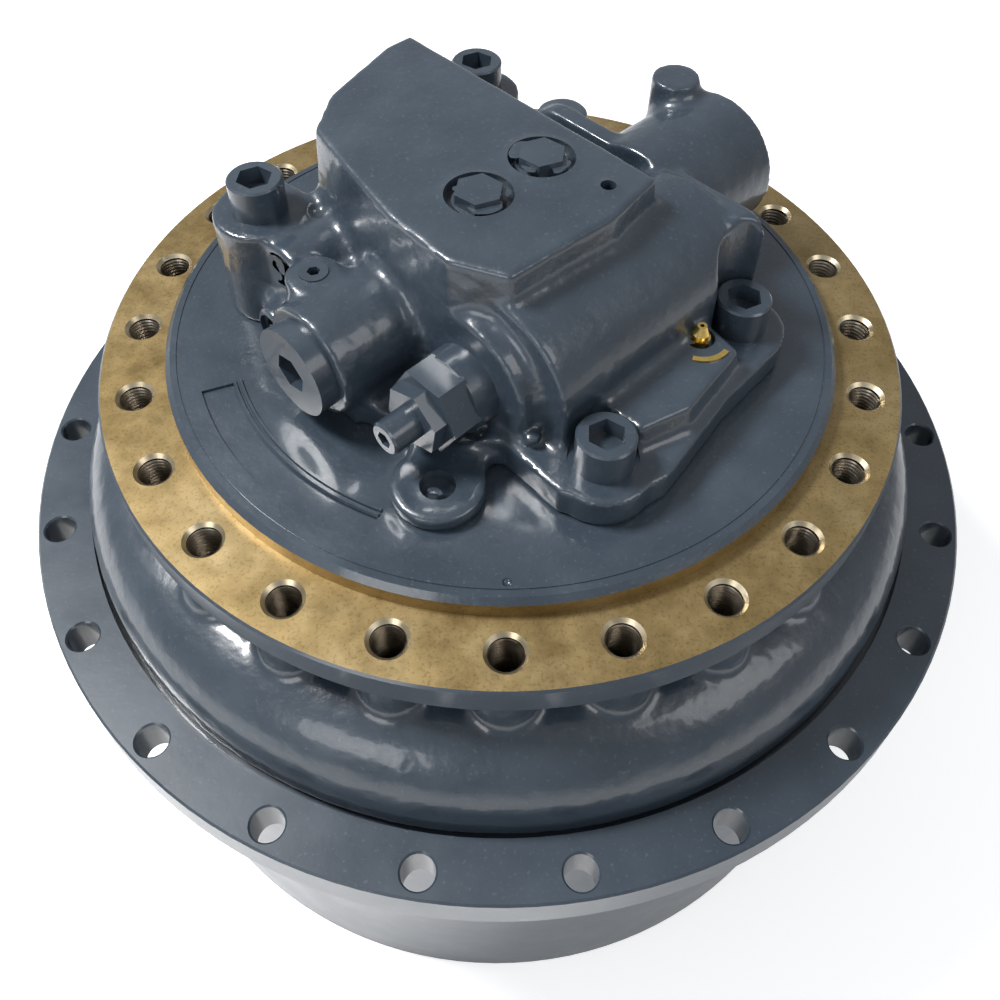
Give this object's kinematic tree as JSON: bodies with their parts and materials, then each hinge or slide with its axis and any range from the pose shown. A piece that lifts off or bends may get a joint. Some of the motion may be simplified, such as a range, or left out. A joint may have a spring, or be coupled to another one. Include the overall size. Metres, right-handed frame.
{
  "type": "excavator final drive",
  "caption": "Track final drive: hydraulic piston motor with valves on a two-stage planetary gear in a turning hub with a sprocket flange.",
  "frame": {"origin": "centre of the hub cover's outer face, on the turning axis", "axes": "+Z along the turning axis from the hub cover up to the motor; -Y towards the viewer of the valve side"},
  "size_m": [0.581, 0.5808, 0.4515],
  "materials": {
    "slate_paint": "gloss",
    "painted_steel": "gloss",
    "brass": "satin",
    "bronze": "satin",
    "bearing_steel": "polished",
    "gear_steel": "ground",
    "machined_steel": "satin",
    "cast_iron": "rough",
    "spring_steel": "satin",
    "rubber": "matt",
    "friction_lining": "rough"
  },
  "bodies": {
    "frame": {"frame_casting": "slate_paint", "motor_case": "slate_paint", "motor_bolts": "painted_steel", "case_top_plugs": "painted_steel", "spool_cap": "painted_steel", "gauge_plug": "painted_steel", "relief_body": "painted_steel", "relief_locknut": "painted_steel", "relief_adjuster": "painted_steel", "bleed_nipple": "brass", "lock_strip": "brass", "valve_plate": "bronze", "shaft_bush": "bronze", "shaft_bearing": "bearing_steel", "shaft_seal": "rubber", "brake_plates": "machined_steel", "brake_springs": "spring_steel", "carrier_2": "cast_iron", "carrier_2_pins": "machined_steel", "carrier_bolts": "machined_steel", "bearing_lower_inner": "bearing_steel", "bearing_upper_inner": "bearing_steel", "seal_ring_frame": "bearing_steel", "seal_oring_frame": "rubber", "spool_springs": "spring_steel", "relief_spring": "spring_steel"},
    "hub": {"hub_drum": "slate_paint", "hub_cover": "slate_paint", "cover_screws": "painted_steel", "cover_plugs": "painted_steel", "thrust_pad": "bronze", "ring_gear": "gear_steel", "seal_ring_hub": "bearing_steel", "seal_oring_hub": "rubber", "bearing_lower_outer": "bearing_steel", "bearing_upper_outer": "bearing_steel"},
    "rotor": {"motor_shaft": "machined_steel", "sun_gear_1": "gear_steel", "cylinder_block": "machined_steel", "pistons": "machined_steel", "piston_shoes": "bronze", "retainer_plate": "bronze", "brake_discs": "friction_lining"},
    "first_carrier": {"carrier_1": "cast_iron", "carrier_1_pins": "machined_steel", "sun_gear_2": "gear_steel"},
    "lower_rollers": {"bearing_lower_rollers": "bearing_steel"},
    "upper_rollers": {"bearing_upper_rollers": "bearing_steel"},
    "swash": {"swash_plate": "machined_steel"},
    "servo": {"servo_piston": "machined_steel"},
    "brake": {"brake_piston": "machined_steel"},
    "spool": {"counterbalance_spool": "machined_steel"},
    "poppet": {"relief_poppet": "machined_steel"},
    "planet_1a_gear": {"planet_1a": "gear_steel"},
    "planet_2a_gear": {"planet_2a": "gear_steel"},
    "planet_1b_gear": {"planet_1b": "gear_steel"},
    "planet_2b_gear": {"planet_2b": "gear_steel"},
    "planet_1c_gear": {"planet_1c": "gear_steel"},
    "planet_2c_gear": {"planet_2c": "gear_steel"}
  },
  "joints": [
    {"name": "hub_turn", "type": "hinge", "parent": "frame", "child": "hub", "pos_m": [0, 0, 0], "axis": [0, 0, 1], "continuous": true},
    {"name": "first_carrier_turn", "type": "hinge", "parent": "frame", "child": "first_carrier", "pos_m": [0, 0, 0], "axis": [0, 0, 1], "continuous": true},
    {"name": "rotor_turn", "type": "hinge", "parent": "frame", "child": "rotor", "pos_m": [0, 0, 0], "axis": [0, 0, 1], "continuous": true},
    {"name": "planet_1a_turn", "type": "hinge", "parent": "first_carrier", "child": "planet_1a_gear", "pos_m": [0.135, 0, 0.05], "axis": [0, 0, 1], "continuous": true},
    {"name": "planet_2a_turn", "type": "hinge", "parent": "frame", "child": "planet_2a_gear", "pos_m": [0.135, 0, 0.05], "axis": [0, 0, 1], "continuous": true},
    {"name": "planet_1b_turn", "type": "hinge", "parent": "first_carrier", "child": "planet_1b_gear", "pos_m": [-0.0675, 0.11691, 0.05], "axis": [0, 0, 1], "continuous": true},
    {"name": "planet_2b_turn", "type": "hinge", "parent": "frame", "child": "planet_2b_gear", "pos_m": [-0.0675, 0.11691, 0.05], "axis": [0, 0, 1], "continuous": true},
    {"name": "planet_1c_turn", "type": "hinge", "parent": "first_carrier", "child": "planet_1c_gear", "pos_m": [-0.0675, -0.11691, 0.05], "axis": [0, 0, 1], "continuous": true},
    {"name": "planet_2c_turn", "type": "hinge", "parent": "frame", "child": "planet_2c_gear", "pos_m": [-0.0675, -0.11691, 0.05], "axis": [0, 0, 1], "continuous": true},
    {"name": "lower_rollers_turn", "type": "hinge", "parent": "frame", "child": "lower_rollers", "pos_m": [0, 0, 0.2], "axis": [0, 0, 1], "continuous": true},
    {"name": "upper_rollers_turn", "type": "hinge", "parent": "frame", "child": "upper_rollers", "pos_m": [0, 0, 0.2], "axis": [0, 0, 1], "continuous": true},
    {"name": "swash_tilt", "type": "hinge", "parent": "frame", "child": "swash", "pos_m": [0, 0, 0.2705], "axis": [0.7071, -0.7071, 0], "range_deg": [-7, 0], "stiffness_Nm_per_rad": 60, "springref_deg": 11.46},
    {"name": "servo_slide", "type": "slide", "parent": "frame", "child": "servo", "axis": [0, 0, 1], "range_m": [0, 0.007]},
    {"name": "brake_release", "type": "slide", "parent": "frame", "child": "brake", "axis": [0, 0, 1], "range_m": [0, 0.0025], "stiffness_N_per_m": 20000, "springref_m": -0.01, "deforming": ["brake_springs"]},
    {"name": "spool_shift", "type": "slide", "parent": "frame", "child": "spool", "axis": [0.7071, 0.7071, 0], "range_m": [-0.008, 0.008], "stiffness_N_per_m": 3000, "deforming": ["spool_springs"]},
    {"name": "relief_lift", "type": "slide", "parent": "frame", "child": "poppet", "axis": [-0.7071, -0.7071, 0], "range_m": [0, 0.002], "stiffness_N_per_m": 3000, "springref_m": -0.003, "deforming": ["relief_spring"]}
  ],
  "couplings": [
    {"joint": "first_carrier_turn", "follows": "hub_turn", "ratio": -5},
    {"joint": "rotor_turn", "follows": "hub_turn", "ratio": -35},
    {"joint": "planet_1a_turn", "follows": "hub_turn", "ratio": 15},
    {"joint": "planet_2a_turn", "follows": "hub_turn", "ratio": 2.5},
    {"joint": "planet_1b_turn", "follows": "hub_turn", "ratio": 15},
    {"joint": "planet_2b_turn", "follows": "hub_turn", "ratio": 2.5},
    {"joint": "planet_1c_turn", "follows": "hub_turn", "ratio": 15},
    {"joint": "planet_2c_turn", "follows": "hub_turn", "ratio": 2.5},
    {"joint": "lower_rollers_turn", "follows": "hub_turn", "ratio": 0.5234},
    {"joint": "upper_rollers_turn", "follows": "hub_turn", "ratio": 0.5234},
    {"joint": "servo_slide", "follows": "swash_tilt", "m_per_rad": -0.0563}
  ]
}
